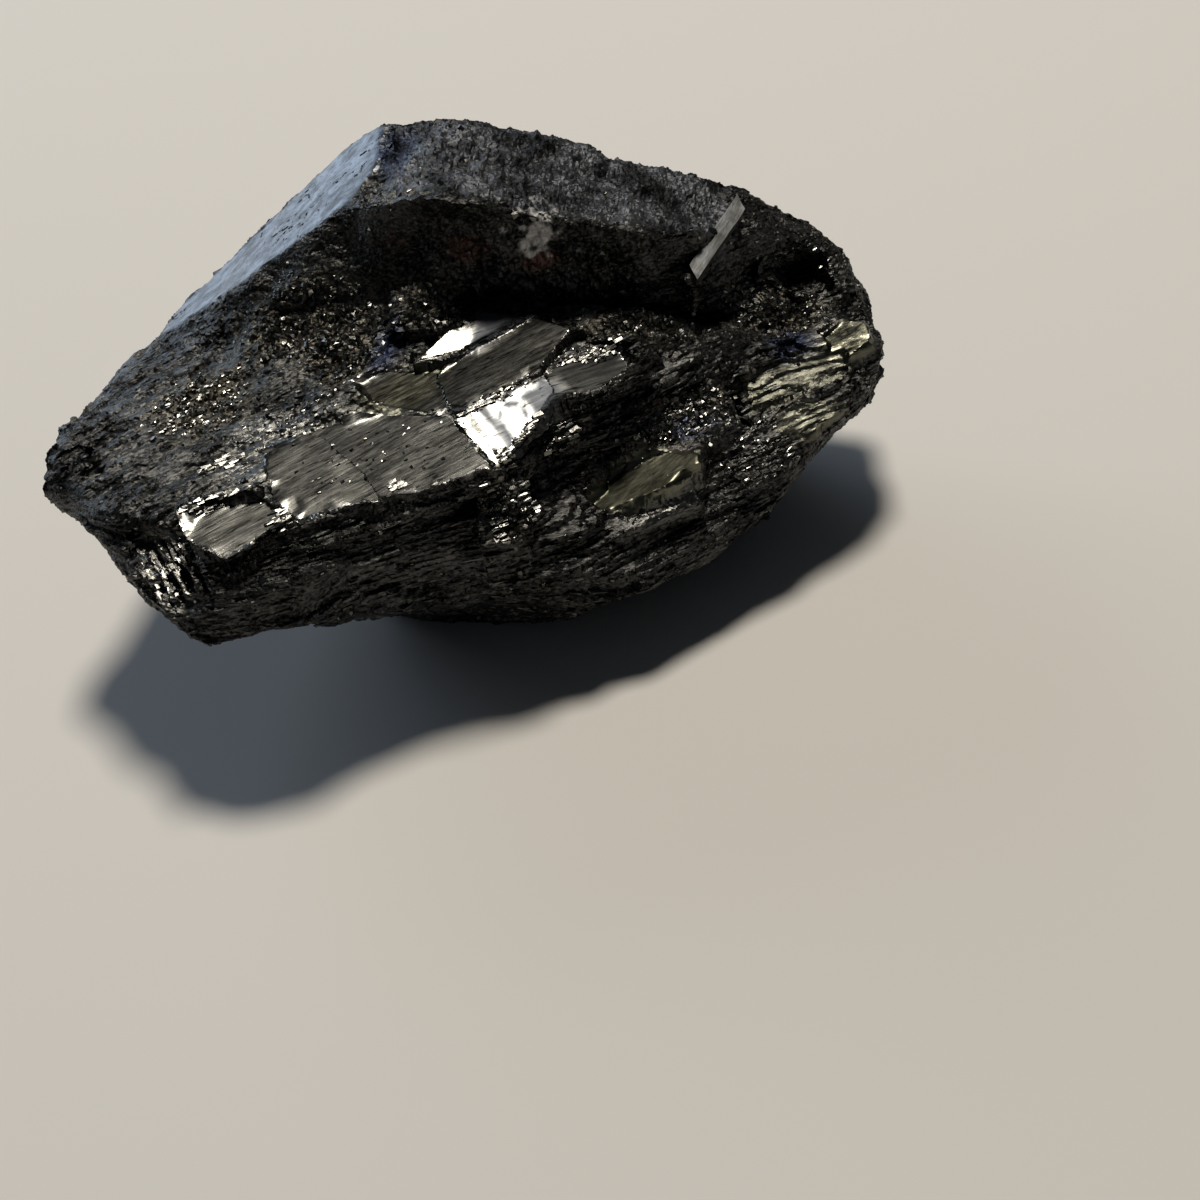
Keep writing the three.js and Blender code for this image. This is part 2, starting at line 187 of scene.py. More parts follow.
def patch(points, centre, reach, turn=0.0):
    """1 in the middle of an egg-shaped patch with these half-sizes, 0 beyond its edge."""
    c, s = math.cos(math.radians(turn)), math.sin(math.radians(turn))
    x, y, z = (points - centre).T
    share = np.sqrt(((c * x + s * y) / reach[0]) ** 2 + ((c * y - s * x) / reach[1]) ** 2
                    + (z / reach[2]) ** 2)
    return ease(1.7 * (1 - share))


settle(rock, "skin", "REMESH", mode="VOXEL", voxel_size=SKIN_STEP, adaptivity=0)
skin = places(rock.data)
facing = facings(rock.data)

# The blades run from the front left to the back right. They bend: steeper at the left end of
# the shelf, flatter at the right end. On the front face they run straight along the stone at its
# left end and turn with the others further right.
BEND_AT = (-33, -20, 2, 12, 33)
SHELF_TURN = (38, 38, 31, 31, 20)
FRONT_TURN = (0, 2, 22, 33, 26)


def grain_lines(points, front):
    """Distances along, across and up through the blades, in millimetres."""
    x, y, z = points.T
    track = np.linspace(-34, 34, 400)
    found = []
    for turns in (SHELF_TURN, FRONT_TURN):
        turn = np.radians(np.interp(track, BEND_AT, turns))
        rise = np.concatenate(([0], np.cumsum(np.tan(turn[1:]) * np.diff(track))))
        rise -= np.interp(0, track, rise)
        here = np.interp(x, track, turn)
        along = x / np.cos(here) + np.sin(here) * (y - np.interp(x, track, rise))
        found.append((along, (y - np.interp(x, track, rise)) * np.cos(here)))
    (u0, v0), (u1, v1) = found
    return np.column_stack((u0 + front * (u1 - u0), v0 + front * (v1 - v0), z + 0.05 * u0))


FACE_TURN = math.radians(19)


def facet_lines(points):
    """The same for the broad face at the back left, where the lines run along the face."""
    x, y, z = points.T
    c, s = math.cos(FACE_TURN), math.sin(FACE_TURN)
    return np.column_stack((c * x + s * y, c * y - s * x, z))


def grain_way(points, front):
    """The direction of the blades at each point."""
    shelf_turn = np.radians(np.interp(points[:, 0], BEND_AT, SHELF_TURN))
    front_turn = np.radians(np.interp(points[:, 0], BEND_AT, FRONT_TURN))
    turn = shelf_turn + front * (front_turn - shelf_turn)
    return np.column_stack((np.cos(turn), np.sin(turn), np.full(len(points), -0.05)))


# Where each kind of break is. The shelf's edge runs from the left lobe to the right end.
EDGE_X = (-33, -29.5, -21, -15, -9, -3, 3, 8, 13, 17, 23, 29, 33)
EDGE_Y = (-9, -11, -18.4, -18.4, -15.6, -13.8, -11.2, -6.2, -2, 1.4, 6.2, 8.4, 8.4)
EDGE_Z = (19, 20, 20, 19.1, 19.2, 19, 19, 18.4, 17, 15.6, 14.8, 15.6, 13.8)


def front_face(points):
    x, y, z = points.T
    before = np.interp(x, EDGE_X, EDGE_Y) - y
    below = np.interp(x, EDGE_X, EDGE_Z) - z
    return ease((0.6 * before + 0.6 * below - 0.2) / 2.5)


FACE = [(-26.6, 7), (-12, 7.6), (-8, 8.3), (-5.7, 11), (-5.4, 16.6), (-10, 16.9), (-20, 13.4),
        (-26.6, 9.8)]
# Each plate: its outline from above, a point that it passes through, and how it slopes there.
PLATES = [
    ([(-3.85, -2.1), (0.25, -0.7), (4.55, 2.8), (1.25, 3.4), (-0.65, 1.9)],
     (2.4, 1.0, 23.4), (-0.12, 0.30)),
    ([(-2.65, -2.3), (-0.9, -5.6), (1.2, -6.5), (6.35, -3.1), (8.95, 1.1), (4.65, 3.5), (0.35, -0.4)],
     (3.8, -4.8, 22.25), (0.05, 0.16)),
    ([(-9.05, -2.3), (-6.85, -4.8), (-1.15, -6.6), (-0.25, -5.1), (-1.55, -2), (-6.35, -1.2)],
     (-1.0, -3.8, 22.0), (0.03, 0.17)),
    ([(6.35, -2.4), (7.15, -5.0), (10.6, -4.1), (13.4, -1.4), (12.4, 0.6), (8.85, 0.9)],
     (6.7, -4.0, 21.95), (-0.24, 0.17)),
    ([(-0.45, -7.2), (3.3, -11.4), (4.7, -10.3), (6.2, -7.4), (7.9, -4.2), (6.35, -2.7), (1.0, -6.4)],
     (4.65, -7.05, 21.38), (-0.107, 0.305)),
    ([(-12.15, -7.3), (-5.25, -14.2), (-2.25, -14.2), (3.45, -11.9), (-0.45, -6.3), (-7.55, -5.6)],
     (-1, -9.5, 20.95), (0.0, 0.17)),
    ([(-14.95, -8.8), (-13.45, -13.8), (-11.25, -16.1), (-4.75, -14.6), (-6.05, -11.1), (-9.75, -6.6)],
     (-10, -11, 20.88), (-0.03, 0.17)),
    ([(-19.85, -15.8), (-19.45, -18.6), (-15.45, -21), (-11.45, -17.2), (-13.45, -14.6)],
     (-15.0, -17.2, 21.0), (-0.07, 0.16)),
]
SHELF_LOW = 17.5
FAR_SHINING, MAIN_SHINING, LOBE = 0, 4, 7
# Blocks at the right end, the plate low on the front and the broken bench behind it, in the same
# terms, and how smooth each one is.
BLOCKS = [
    ([(27.8, 6.2), (30, 5.6), (32.6, 7), (32, 10.4), (29.8, 10.8), (27.4, 8.7)],
     (29.6, 8, 15.6), (0.18, 0.165), 0.9),
    ([(21.5, 1.6), (26, 2.6), (30, 4.8), (29.6, 7.5), (26, 7), (21.2, 4.4)],
     (25, 6.3, 15.3), (-0.12, 0.45), 0.5),
    ([(23.6, -0.2), (28.1, -0.2), (30.4, 2.2), (30, 3.4), (25.9, 2.8), (23.6, 1.6)],
     (27.4, 1.5, 12.8), (-0.2, 0.55), 0.7),
    ([(7.8, -7.3), (10.2, -8.7), (13.3, -8.3), (17.4, -7), (18.7, -5.4), (18.1, -3.1), (13.3, -3),
      (10.6, -4.2)],
     (12.8, -7.2, 13.3), (0.22, 0.11), 1.0),
    ([(9.8, -5.2), (18.4, -2.6), (21.5, -0.2), (21, 2.6), (19.8, 4), (11.3, -3.6)],
     (11.5, -3.6, 16.1), (-0.33, 0.36), 0.0),
]


def regions(points, facing):
    """How much of each kind of surface there is at each point, from 0 to 1."""
    x, y, z = points.T
    upward = facing[:, 2]
    front = front_face(points)
    flat = ease(inside(points, FACE) / 0.7) * ease((upward - 0.5) / 0.25)
    plates = np.max([inside(points, outline) for outline, _, _ in PLATES], axis=0)
    plates = ease((plates + 0.1) / 0.4) * ease((upward - 0.6) / 0.2) * ease((z - 18) / 1)
    blocks = np.max([
        even * ease(inside(points, outline) / 0.6)
        * ease(1.5 - np.abs(z - at[2] - (points[:, :2] - at[:2]) @ slope))
        for outline, at, slope, even in BLOCKS
    ], axis=0)
    # blades that lie smooth but unbroken: left of the plates and low on the front
    bladed = np.max([
        patch(points, (-12.5, -9, 21), (8, 6, 4), 30),
        patch(points, (16, -6.5, 12.5), (6, 3, 3), 30),
    ], axis=0)
    # thin sheets lying on each other, seen from their edges
    sheeted = np.max([
        patch(points, (14, -0.5, 18), (10, 4, 3), 30),
        patch(points, (8, -7.4, 17), (4, 4, 4), 31),
        patch(points, (27, 5, 13), (10, 8, 8), 20),
        patch(points, (0, -14, 12), (24, 9, 9), 8),
    ], axis=0)
    # the broad top behind the wall, with its short upright fibres
    top = ease((y - np.interp(x, (-8, 0, 6, 14, 20, 24), (9, 4.6, 5, 7, 10, 14))) / 1.5)
    top = top * ease((x + 6) / 2) * ease((z - 19) / 3) * ease((21.5 - x) / 1.5)
    top = top * ease((upward + 0.05) / 0.45)
    wall = patch(points, (5, 6, 27), (18, 6, 9), 4) * ease((0.75 - upward) / 0.2)
    # coarse sparkling breaks
    coarse = np.max([
        patch(points, (-13, 3.4, 24), (8, 4.5, 5), 10),
        patch(points, (-9.5, 0, 23), (4, 4, 3), 0),
        patch(points, (-2.6, 2.8, 25), (4.4, 3, 3), 0),
        0.8 * patch(points, (-20.4, -3.4, 21.6), (6, 5, 4), 50),
        patch(points, (13, 4.2, 20), (9, 2.2, 4), 24),
        patch(points, (24.5, 11, 17.5), (6, 3.6, 4), 20),
        patch(points, (16.6, -0.2, 15), (7, 3, 2.2), 36),
        patch(points, (3.6, -12.6, 17), (2.4, 2.6, 3.8), 0),
    ], axis=0) * (1 - flat) * (1 - plates)
    notch = patch(points, (-20.6, -18.4, 18.2), (4, 4.4, 4), 0)
    return {"front": front, "flat": flat, "plates": plates, "blocks": blocks,
            "bladed": bladed, "sheeted": sheeted * (1 - plates), "top": top, "wall": wall,
            "coarse": coarse * (1 - blocks), "notch": notch}


def shelve(area, levels, outward, step):
    """Turns a slope into a stair of thin sheets, each with a flat top and a steep edge."""
    step_number = np.floor(levels / step)
    share = levels / step - step_number
    risen = (step_number + ease((share - 0.6) / 0.4)) * step
    return skin + (area * (risen - levels))[:, None] * outward


def cleavage(points):
    """The way the blades' flat sides face: they turn a little from one end to the other."""
    tilt = 0.117 - 0.0038 * points[:, 0]
    return unit(np.column_stack((tilt, np.full(len(points), -0.29), np.full(len(points), 0.95))))


# painted shade: how dark each corner is painted where shade falls in seams, cracks and hollows
crevice = np.zeros(len(skin))


def break_up(area, at, size, seed, tilt, flatten, deepest, step, flashing=0.0):
    """Breaks the surface into crystals of this size, each with a face and a height of its own."""
    there = area > 0.02
    cells, luck, gap = grains(at[there] / size, seed)
    points, outward, some = skin[there], facing[there], area[there]
    count = np.bincount(cells).astype(float)
    middle = np.column_stack([np.bincount(cells, points[:, i]) / count for i in range(3)])
    lean = np.column_stack([np.bincount(cells, outward[:, i]) for i in range(3)])
    lean = unit(lean)[cells] + 2 * (tilt * some)[:, None] * (luck[:, :3] - 0.5)
    split = cleavage(points)
    flash = (luck[:, 2] < flashing) * (np.einsum("ij,ij->i", unit(lean), split) > 0.6)
    lean = unit(np.where(flash[:, None], split + 0.06 * (luck[:, :3] - 0.5), lean))
    fall = np.clip(np.einsum("ij,ij->i", middle[cells] - points, lean), -deepest, deepest)
    points += (flatten * some * fall)[:, None] * lean
    points += (step * some * (luck[:, 3] - 0.5) * ease(gap * 6))[:, None] * outward
    # the seams between the crystals are sunk a little, and also painted with shade
    seam = ease(1 - gap * 7) * some
    points -= (0.3 * step * seam)[:, None] * outward
    crevice[there] = np.maximum(crevice[there], seam * min(1, 3 * step) * (0.3 + 0.7 * luck[:, 1]))
    skin[there] = points


# The shelf's plates meet with steps of up to about a millimetre and narrow cracks.
ragged = [0.25 * drift(skin / 2.2, 60 + number) + 0.12 * drift(skin / 0.7, 80 + number)
          for number in range(len(PLATES))]
depth = np.array([inside(skin, outline) + edge for (outline, _, _), edge in zip(PLATES, ragged)])
owner = depth.argmax(axis=0)
ordered = np.sort(depth, axis=0)
planes = np.array([at[2] + (skin[:, :2] - at[:2]) @ slope for _, at, slope in PLATES])
height = planes[owner, np.arange(len(skin))]
grain = grain_lines(skin, front_face(skin))
height += 0.035 * drift(skin / 3.5, 5)
# the plate that shines most is bent in narrow bands across the blades
height += np.where(owner == MAIN_SHINING, 0.06, 0.012) * drift(grain / (1.0, 6, 6), 9)
crack = ease(1 - np.abs(ordered[-1] - ordered[-2]) / 0.2) * ease((ordered[-2] + 0.7) / 0.3)
crack = crack * ease(0.2 + 1.6 * drift(skin / 2.5, 6))
crack = crack * (1 - patch(skin, (-7.2, -10.8, 20.5), (8, 3, 4), -58))
height -= 0.08 * crack
rim = ease(1 - np.abs(ordered[-1]) / 0.2) * (ordered[-2] < -0.3) * ease(1.6 * drift(skin / 1.5, 4))
height -= 0.1 * rim
blurred = 0.2 + 1.8 * ease(0.5 + drift(skin / 4, 8)) * ease((-5 - skin[:, 0]) / 4)
covered = ease((ordered[-1] + 0.15) / blurred) * ease((facing[:, 2] - 0.5) / 0.3)
between = ease((ordered[-2] + 0.9) / 0.2)
# only what already lies near a plate is held to it, and a little more at the left lobe
held = np.maximum(covered, between) * (skin[:, 2] > SHELF_LOW)
held = held * ease((1.7 + (owner == LOBE) - np.abs(height - skin[:, 2])) / 0.5)
skin[:, 2] += held * (height - skin[:, 2])
# painted shade along the cracks and sunk rims between the plates
crack_shade = np.maximum(0.45 * crack, 0.3 * rim) * (skin[:, 2] > SHELF_LOW) * (facing[:, 2] > 0.5)
crevice = np.maximum(crevice, crack_shade)
for outline, at, slope, _ in BLOCKS:
    rise = at[2] + (skin[:, :2] - at[:2]) @ slope - skin[:, 2]
    held = ease((inside(skin, outline) + 1.5 * ragged[0]) / 0.8) * ease((facing[:, 2] + 0.1) / 0.2)
    held = held * ease(2.5 - np.abs(rise))
    skin[:, 2] += held * rise
move_to(rock.data, skin)
facing = facings(rock.data)

kinds = regions(skin, facing)
calm = facing.copy()
smooth = np.maximum.reduce([kinds["flat"], kinds["plates"], kinds["blocks"],
                            0.4 * kinds["bladed"]])
rough = 1 - smooth
grain = grain_lines(skin, kinds["front"])

# lumps and hollows a few millimetres across, on the breaks alone
lumps = drift(skin / 4.2, 1) + 0.5 * drift(skin / 2.1, 2)
skin += (0.45 * rough * lumps)[:, None] * facing

# the small dark hollow behind the left tip, the irregular cave in the right end, and a shallow
# hollow beside the corner of the broad face
skin -= (1.6 * patch(skin, (-27.9, -10.2, 21.2), (1.5, 1.1, 2.2), 20))[:, None] * facing
skin -= (1.8 * patch(skin, (23.6, 13, 19), (3.4, 1.8, 1.8), 30))[:, None] * facing
skin -= (0.9 * patch(skin, (-4.3, 13, 33.4), (1.2, 3.4, 2), 0) * rough)[:, None] * facing

# broad blades, each split off at its own height, then narrower and narrower ones on top of them
blades = rough * (1 - 0.85 * kinds["coarse"]) * (1 - 0.75 * kinds["top"]) * (1 - 0.7 * kinds["wall"])
blades = blades * (1 - kinds["notch"]) * (0.6 + 0.4 * ease(0.6 + drift(skin / 5, 7)))
for size, seed, tilt, flatten, deepest, step in (
    ((11, 1.9, 1.1), 11, 0.16, 0.75, 0.6, 0.30),
    ((4.2, 0.8, 0.6), 12, 0.32, 0.75, 0.35, 0.2),
    ((1.6, 0.4, 0.34), 13, 0.4, 0.75, 0.2, 0.13),
):
    break_up(blades, grain, size, seed, tilt, flatten, deepest, step, 0.1)

fibrous = blades * np.maximum(kinds["front"], 0.4 * kinds["sheeted"])
break_up(fibrous, grain, (5, 0.36, 0.3), 14, 0.14, 0.6, 0.2, 0.12, 0.06)

# thin sheets on the stack, the front and the right end, and the ribs in the notch at the left
waves = 0.5 * drift(grain / (6, 2.5, 2.5), 51) + 0.12 * drift(grain / (2, 0.8, 0.8), 52)
sheet_up = unit(np.array([[0.05, -0.16, 0.98]]))
skin = shelve(0.95 * rough * kinds["sheeted"], (skin @ sheet_up.T)[:, 0] + waves, sheet_up, 0.5)
RIBS_RISE = np.array((0.835, 0.36, 0.414))
RIBS_OUT = np.array((-0.2, -0.5, 0.84))
ribs = skin @ RIBS_RISE / 1.05 + 0.22 * drift(skin / 1.8, 53)
fall = 0.5 - (ribs - np.floor(ribs))
skin += (0.62 * fall * kinds["notch"] * ease(0.7 + drift(skin / 1.2, 54)))[:, None] * RIBS_OUT

# upright splinters on the wall and short ones on the top behind it
upright = skin[:, [2, 0, 1]]
even_top = 0.5 + 0.5 * ease((calm[:, 2] - 0.6) / 0.2)
for size, seed, tilt, flatten, deepest, step in (
    ((3.6, 1.2, 2.6), 21, 0.3, 0.7, 0.5, 0.3),
    ((1.6, 0.5, 1.3), 22, 0.45, 0.75, 0.3, 0.2),
    ((0.7, 0.3, 0.6), 23, 0.5, 0.75, 0.18, 0.12),
):
    break_up(np.maximum(kinds["top"] * even_top, kinds["wall"]) * rough, upright, size, seed, tilt, flatten,
             deepest, step, 0.05)

# grains on the coarse breaks
for size, seed, tilt, flatten, deepest, step in (
    (3.4, 30, 0.5, 0.7, 1.0, 0.6),
    (1.7, 31, 0.5, 0.7, 0.6, 0.4),
    (0.8, 32, 0.6, 0.7, 0.4, 0.16),
    (0.36, 33, 0.6, 0.7, 0.2, 0.08),
):
    break_up(kinds["coarse"], grain * (0.55, 1, 1), size, seed, tilt, flatten, deepest, step, 0.12)

# fine cracks and chipped sheets along the broad face at the back left, sunk a little and painted with shade
lines = facet_lines(skin)
split = ease(1 - np.abs(drift(lines / (11, 0.9, 0.9), 44)) / 0.05)
split = split * ease(4 * drift(lines / (6, 1.4, 3), 45) - 0.5)
chipped = ease(2.2 * drift(lines / (1.6, 0.7, 0.7), 47) - 0.3) * ease(1.2 - inside(skin, FACE) / 0.7)
split = np.maximum(split, chipped * (inside(skin, FACE) > -0.6))
skin -= (0.1 * split * kinds["flat"])[:, None] * facing
crevice = np.maximum(crevice, 0.7 * split * kinds["flat"])
# painted shade in dark spots: beside that face's corner, on the left tip and between the blades behind it
spot_shade = np.maximum.reduce([
    0.9 * patch(skin, (-5.2, 13.2, 33.3), (1.5, 4.4, 2.2)) * ease(0.6 + 2 * drift(skin / 0.8, 48)),
    0.6 * patch(skin, (-31.5, -9, 17), (5, 8, 8)) * ease(0.7 + 1.5 * drift(skin / 2, 49)),
    0.7 * patch(skin, (-20, -6, 21), (12, 12, 6)) * ease(3 * drift(grain / (2.5, 1, 1), 50) - 0.5),
])
crevice = np.maximum(crevice, spot_shade * rough)

# shallow striations along the shining faces
lines = grain * (0.05, 1, 1)
striae = 0.003 * drift(lines / 0.4, 41) + 0.008 * drift(lines / 1.3, 42)
skin += (smooth * striae)[:, None] * facing

# nothing grows past the stone's own size, and what it rests on stays flat
low, high = (np.array(corner) / MM for corner in cad_box)
skin = np.clip(skin, low, high)
move_to(rock.data, skin)


def crease(mesh, angle):
    """Smooth shading, but for the edges where the surface turns more than this."""
    mesh.polygons.foreach_set("use_smooth", [True] * len(mesh.polygons))
    mesh.set_sharp_from_angle(angle=math.radians(angle))


def keep(mesh, name, values):
    """Stores a number or a direction with each corner of the mesh, for its material."""
    kind = "FLOAT_VECTOR" if values.ndim == 2 else "FLOAT"
    layer = mesh.attributes.get(name) or mesh.attributes.new(name, kind, "POINT")
    field = "vector" if values.ndim == 2 else "value"
    layer.data.foreach_set(field, values.astype(np.float32).ravel())


# the painted shade is kept with each corner for the material
keep(rock.data, "crevice", crevice)
settle(rock, "thin_out", "DECIMATE", ratio=SKIN_TRIANGLES / (2 * len(rock.data.polygons)))


def mark(mesh):
    """Stores what kind of break each corner lies on."""
    points = places(mesh)
    kinds = regions(points, facings(mesh))
    on_facet = (kinds["flat"] > 0.3)[:, None]
    lines = np.where(on_facet, facet_lines(points), grain_lines(points, kinds["front"]))
    keep(mesh, "grain_lines", lines)
    keep(mesh, "shine", np.maximum.reduce([
        0.8 * kinds["flat"], kinds["plates"], 0.3 * kinds["blocks"],
        0.5 * kinds["bladed"], 0.9 * kinds["notch"],
        0.8 * patch(points, (29.6, 8, 15.6), (3, 3, 2)),
    ]))
    # dull patches and bands on the two plates that shine most
    corner, sides = (-0.45, -7.2), ((6.8, 4.5), (3.75, -4.2))
    u, v = ((points[:, :2] - corner) @ np.linalg.inv(sides)).T
    u += 0.05 * drift(points / 0.8, 73)
    banded = ease(1.6 - np.abs(u - 0.3) / 0.05) + 0.5 * ease(1.4 - np.abs(u - 0.12) / 0.02)
    banded += ease((u - 0.6) / 0.1) * ease((v - 0.14) / 0.1)
    banded += ease(0.1 + 1.6 * drift(points / 0.7, 74)) * (u > 0.45)
    dull = banded * ease(inside(points, PLATES[MAIN_SHINING][0]) + 0.8) * (points[:, 2] > 19.5)
    on_far = ease(inside(points, PLATES[FAR_SHINING][0]) + 0.8)
    dull += ease((points[:, 0] - 0.4 + drift(points / 0.8, 75)) / 0.8) * on_far
    keep(mesh, "dull", np.clip(dull, 0, 1))
    # satin blocks: smoother grains, and an olive colour that is partly painted warm reflection
    keep(mesh, "satin_and_warm_reflection", np.maximum(kinds["blocks"], patch(points, (-4, -3.6, 22), (5, 3, 2), 20)))
    keep(mesh, "sparkle", kinds["coarse"])
    keep(mesh, "powder", np.maximum(kinds["top"] * (1 - kinds["flat"]), 0.8 * kinds["flat"]))
    keep(mesh, "tarnish", np.max([
        patch(points, (17.4, -1, 14.8), (3.6, 1.5, 1.6), 30),
        patch(points, (-6, 0.5, 24), (1.8, 4, 4), -20),
        patch(points, (25, 8, 15), (3.4, 2.4, 2), 0),
        patch(points, (-4.8, 13, 33.2), (2.2, 4.2, 2.6), 0),
    ], axis=0))
    off = np.linalg.norm((points - (6.3, 4.9, 29.5)) / (1.7, 3, 2.1), axis=1)
    keep(mesh, "pale", ease((1 - off + 0.8 * drift(points / 0.9, 71)) / 0.35))
    keep(mesh, "rust", np.max([
        patch(points, (6.6, 5.2, 26.8), (2.2, 3, 1.2)),
        patch(points, (-4.5, 8, 29), (3, 4, 2)),
        patch(points, (1, 5.6, 28.8), (2.6, 3, 1.6)),
    ], axis=0))


class Finish:
    """A node material that is written from the shader backwards."""

    def __init__(self, name):
        self.material = bpy.data.materials.new(name)
        self.material.use_nodes = True
        self.nodes = self.material.node_tree.nodes
        self.links = self.material.node_tree.links
        self.shader = self.nodes["Principled BSDF"]

    def add(self, kind, inputs=(), **settings):
        node = self.nodes.new(kind)
        for key, value in settings.items():
            setattr(node, key, value)
        for socket, value in dict(inputs).items():
            self.feed(node, socket, value)
        return node

    def feed(self, node, socket, value):
        if isinstance(value, bpy.types.NodeSocket):
            self.links.new(value, node.inputs[socket])
        else:
            node.inputs[socket].default_value = value

    def sum(self, operation, a, b):
        return self.add("ShaderNodeMath", {0: a, 1: b}, operation=operation).outputs[0]

    def vector(self, operation, inputs):
        return self.add("ShaderNodeVectorMath", inputs, operation=operation).outputs[0]

    def mix(self, share, a, b):
        node = self.add("ShaderNodeMix", data_type="RGBA")
        for socket, value in ((0, share), (6, a), (7, b)):
            self.feed(node, socket, value)
        return node.outputs[2]

    def range(self, value, low, high, to_low, to_high):
        node = self.add("ShaderNodeMapRange", {0: value, 1: low, 2: high, 3: to_low, 4: to_high})
        return node.outputs[0]

    def noise(self, at, scale, detail=3.0, rough=0.55):
        return self.add("ShaderNodeTexNoise", {"Vector": at, "Scale": scale, "Detail": detail,
                                               "Roughness": rough}).outputs[0]

    def stretch(self, at, by):
        return self.add("ShaderNodeMapping", {"Vector": at, "Scale": by}).outputs[0]

    def own(self, name, output="Fac"):
        return self.add("ShaderNodeAttribute", attribute_name=name).outputs[output]


metal = Finish("stibnite_broken")
here = metal.add("ShaderNodeTexCoord").outputs["Object"]
lines = metal.own("grain_lines", "Vector")
shine = metal.own("shine")
sparkle = metal.own("sparkle")
tarnish = metal.own("tarnish")
powder = metal.own("powder")
pale = metal.own("pale")
rust = metal.own("rust")
satin_and_warm_reflection = metal.own("satin_and_warm_reflection")
dull = metal.own("dull")
# painted shade of the seams, cracks and hollows
painted_crevice_shade = metal.own("crevice")
even = metal.sum("MAXIMUM", shine, satin_and_warm_reflection)
streaks = metal.noise(metal.stretch(lines, (0.16, 3.2, 3.2)), 1.0, 6, 0.65)
cloud = metal.noise(here, 260, 4, 0.6)
speck = metal.noise(here, 1800, 3, 0.6)
hash_marks = metal.noise(metal.stretch(lines, (2.0, 5, 5)), 1.0, 4, 0.65)
broad = metal.noise(metal.stretch(lines, (0.1, 1.3, 1.3)), 1.0, 5, 0.6)

clouded = metal.range(cloud, 0.35, 0.65, -0.35, 0.35)
grey_share = metal.sum("ADD", clouded, metal.range(hash_marks, 0.38, 0.62, 0, 1))
grey_share = metal.sum("MAXIMUM", grey_share, 0.0)
rough_grey = metal.mix(grey_share, (0.006, 0.006, 0.006, 1), (0.10, 0.10, 0.097, 1))
clean_grey = metal.mix(metal.range(broad, 0.35, 0.65, 0, 1), (0.11, 0.11, 0.10, 1), (0.21, 0.21, 0.20, 1))
streaked = metal.range(streaks, 0.35, 0.65, 0, 1)
# an olive tone on the satin blocks, partly the stone's own and partly painted warm reflection
olive_and_warm_reflection = metal.mix(streaked, (0.085, 0.085, 0.064, 1), (0.18, 0.18, 0.137, 1))
colour = metal.mix(shine, rough_grey, clean_grey)
colour = metal.mix(satin_and_warm_reflection, colour, olive_and_warm_reflection)
colour = metal.mix(metal.sum("MULTIPLY", dull, 0.8), colour, (0.10, 0.11, 0.13, 1))
warm = metal.mix(metal.range(speck, 0.4, 0.6, 0, 1), (0.06, 0.052, 0.035, 1), (0.30, 0.27, 0.20, 1))
colour = metal.mix(metal.sum("MULTIPLY", sparkle, 0.35), colour, warm)
matt = metal.mix(shine, cloud, broad)
dusty = metal.mix(metal.range(matt, 0.4, 0.6, 0, 1), (0.025, 0.026, 0.028, 1), (0.145, 0.152, 0.167, 1))
colour = metal.mix(powder, colour, dusty)
blue_film = metal.mix(metal.range(speck, 0.4, 0.6, 0, 1), (0.008, 0.012, 0.025, 1), (0.035, 0.05, 0.11, 1))
colour = metal.mix(metal.sum("MULTIPLY", tarnish, 0.75), colour, blue_film)
red_film = metal.mix(metal.range(cloud, 0.4, 0.6, 0, 1), (0.05, 0.035, 0.03, 1), (0.20, 0.07, 0.05, 1))
colour = metal.mix(metal.sum("MULTIPLY", rust, 0.45), colour, red_film)
crust = metal.mix(metal.range(speck, 0.4, 0.6, 0, 1), (0.5, 0.49, 0.48, 1), (0.85, 0.84, 0.82, 1))
colour = metal.mix(pale, colour, crust)
# painted shade: near-black hairline cracks along the shining faces
hairline_shade = metal.noise(metal.stretch(lines, (0.3, 5, 5)), 1.0, 2, 0.5)
hairline_shade = metal.sum("MULTIPLY", metal.range(hairline_shade, 0.6, 0.65, 0, 0.8), shine)
colour = metal.mix(hairline_shade, colour, (0.01, 0.01, 0.01, 1))
# painted shade: near black in the seams, cracks and hollows
colour = metal.mix(metal.sum("MULTIPLY", painted_crevice_shade, 0.85), colour, (0.003, 0.003, 0.003, 1))
metal.feed(metal.shader, "Base Color", colour)
metal.feed(metal.shader, "Metallic", metal.sum("SUBTRACT", 1.0, pale))

worn = metal.range(streaks, 0.3, 0.7, -0.04, 0.08)
roughness = metal.sum("ADD", metal.range(shine, 0, 1, 0.4, 0.18), worn)
roughness = metal.sum("ADD", roughness, metal.sum("MULTIPLY", powder, 0.12))
roughness = metal.sum("ADD", roughness, metal.sum("MULTIPLY", dull, 0.37))
metal.feed(metal.shader, "Roughness", roughness)

# every grain of the break leans its own way, so that it flashes by itself
surface = metal.add("ShaderNodeNewGeometry").outputs["Normal"]
along_grain = metal.stretch(lines, (2.2, 6, 6))
flakes = metal.add("ShaderNodeTexVoronoi", {"Vector": along_grain, "Scale": 1}).outputs["Color"]
dust = metal.add("ShaderNodeTexVoronoi", {"Vector": here, "Scale": 2600}).outputs["Color"]
flakes = metal.mix(sparkle, flakes, dust)
fine_lean = metal.vector("SUBTRACT", {0: flakes, 1: (0.5, 0.5, 0.5)})
amount = metal.sum("ADD", metal.range(even, 0, 1, 0.30, 0.004), metal.sum("MULTIPLY", sparkle, 0.5))
fine_lean = metal.vector("SCALE", {0: fine_lean, 3: amount})
leaning = metal.vector("NORMALIZE", {0: metal.vector("ADD", {0: surface, 1: fine_lean})})
fibres = metal.noise(metal.stretch(lines, (0.25, 7, 7)), 1.0, 4, 0.6)
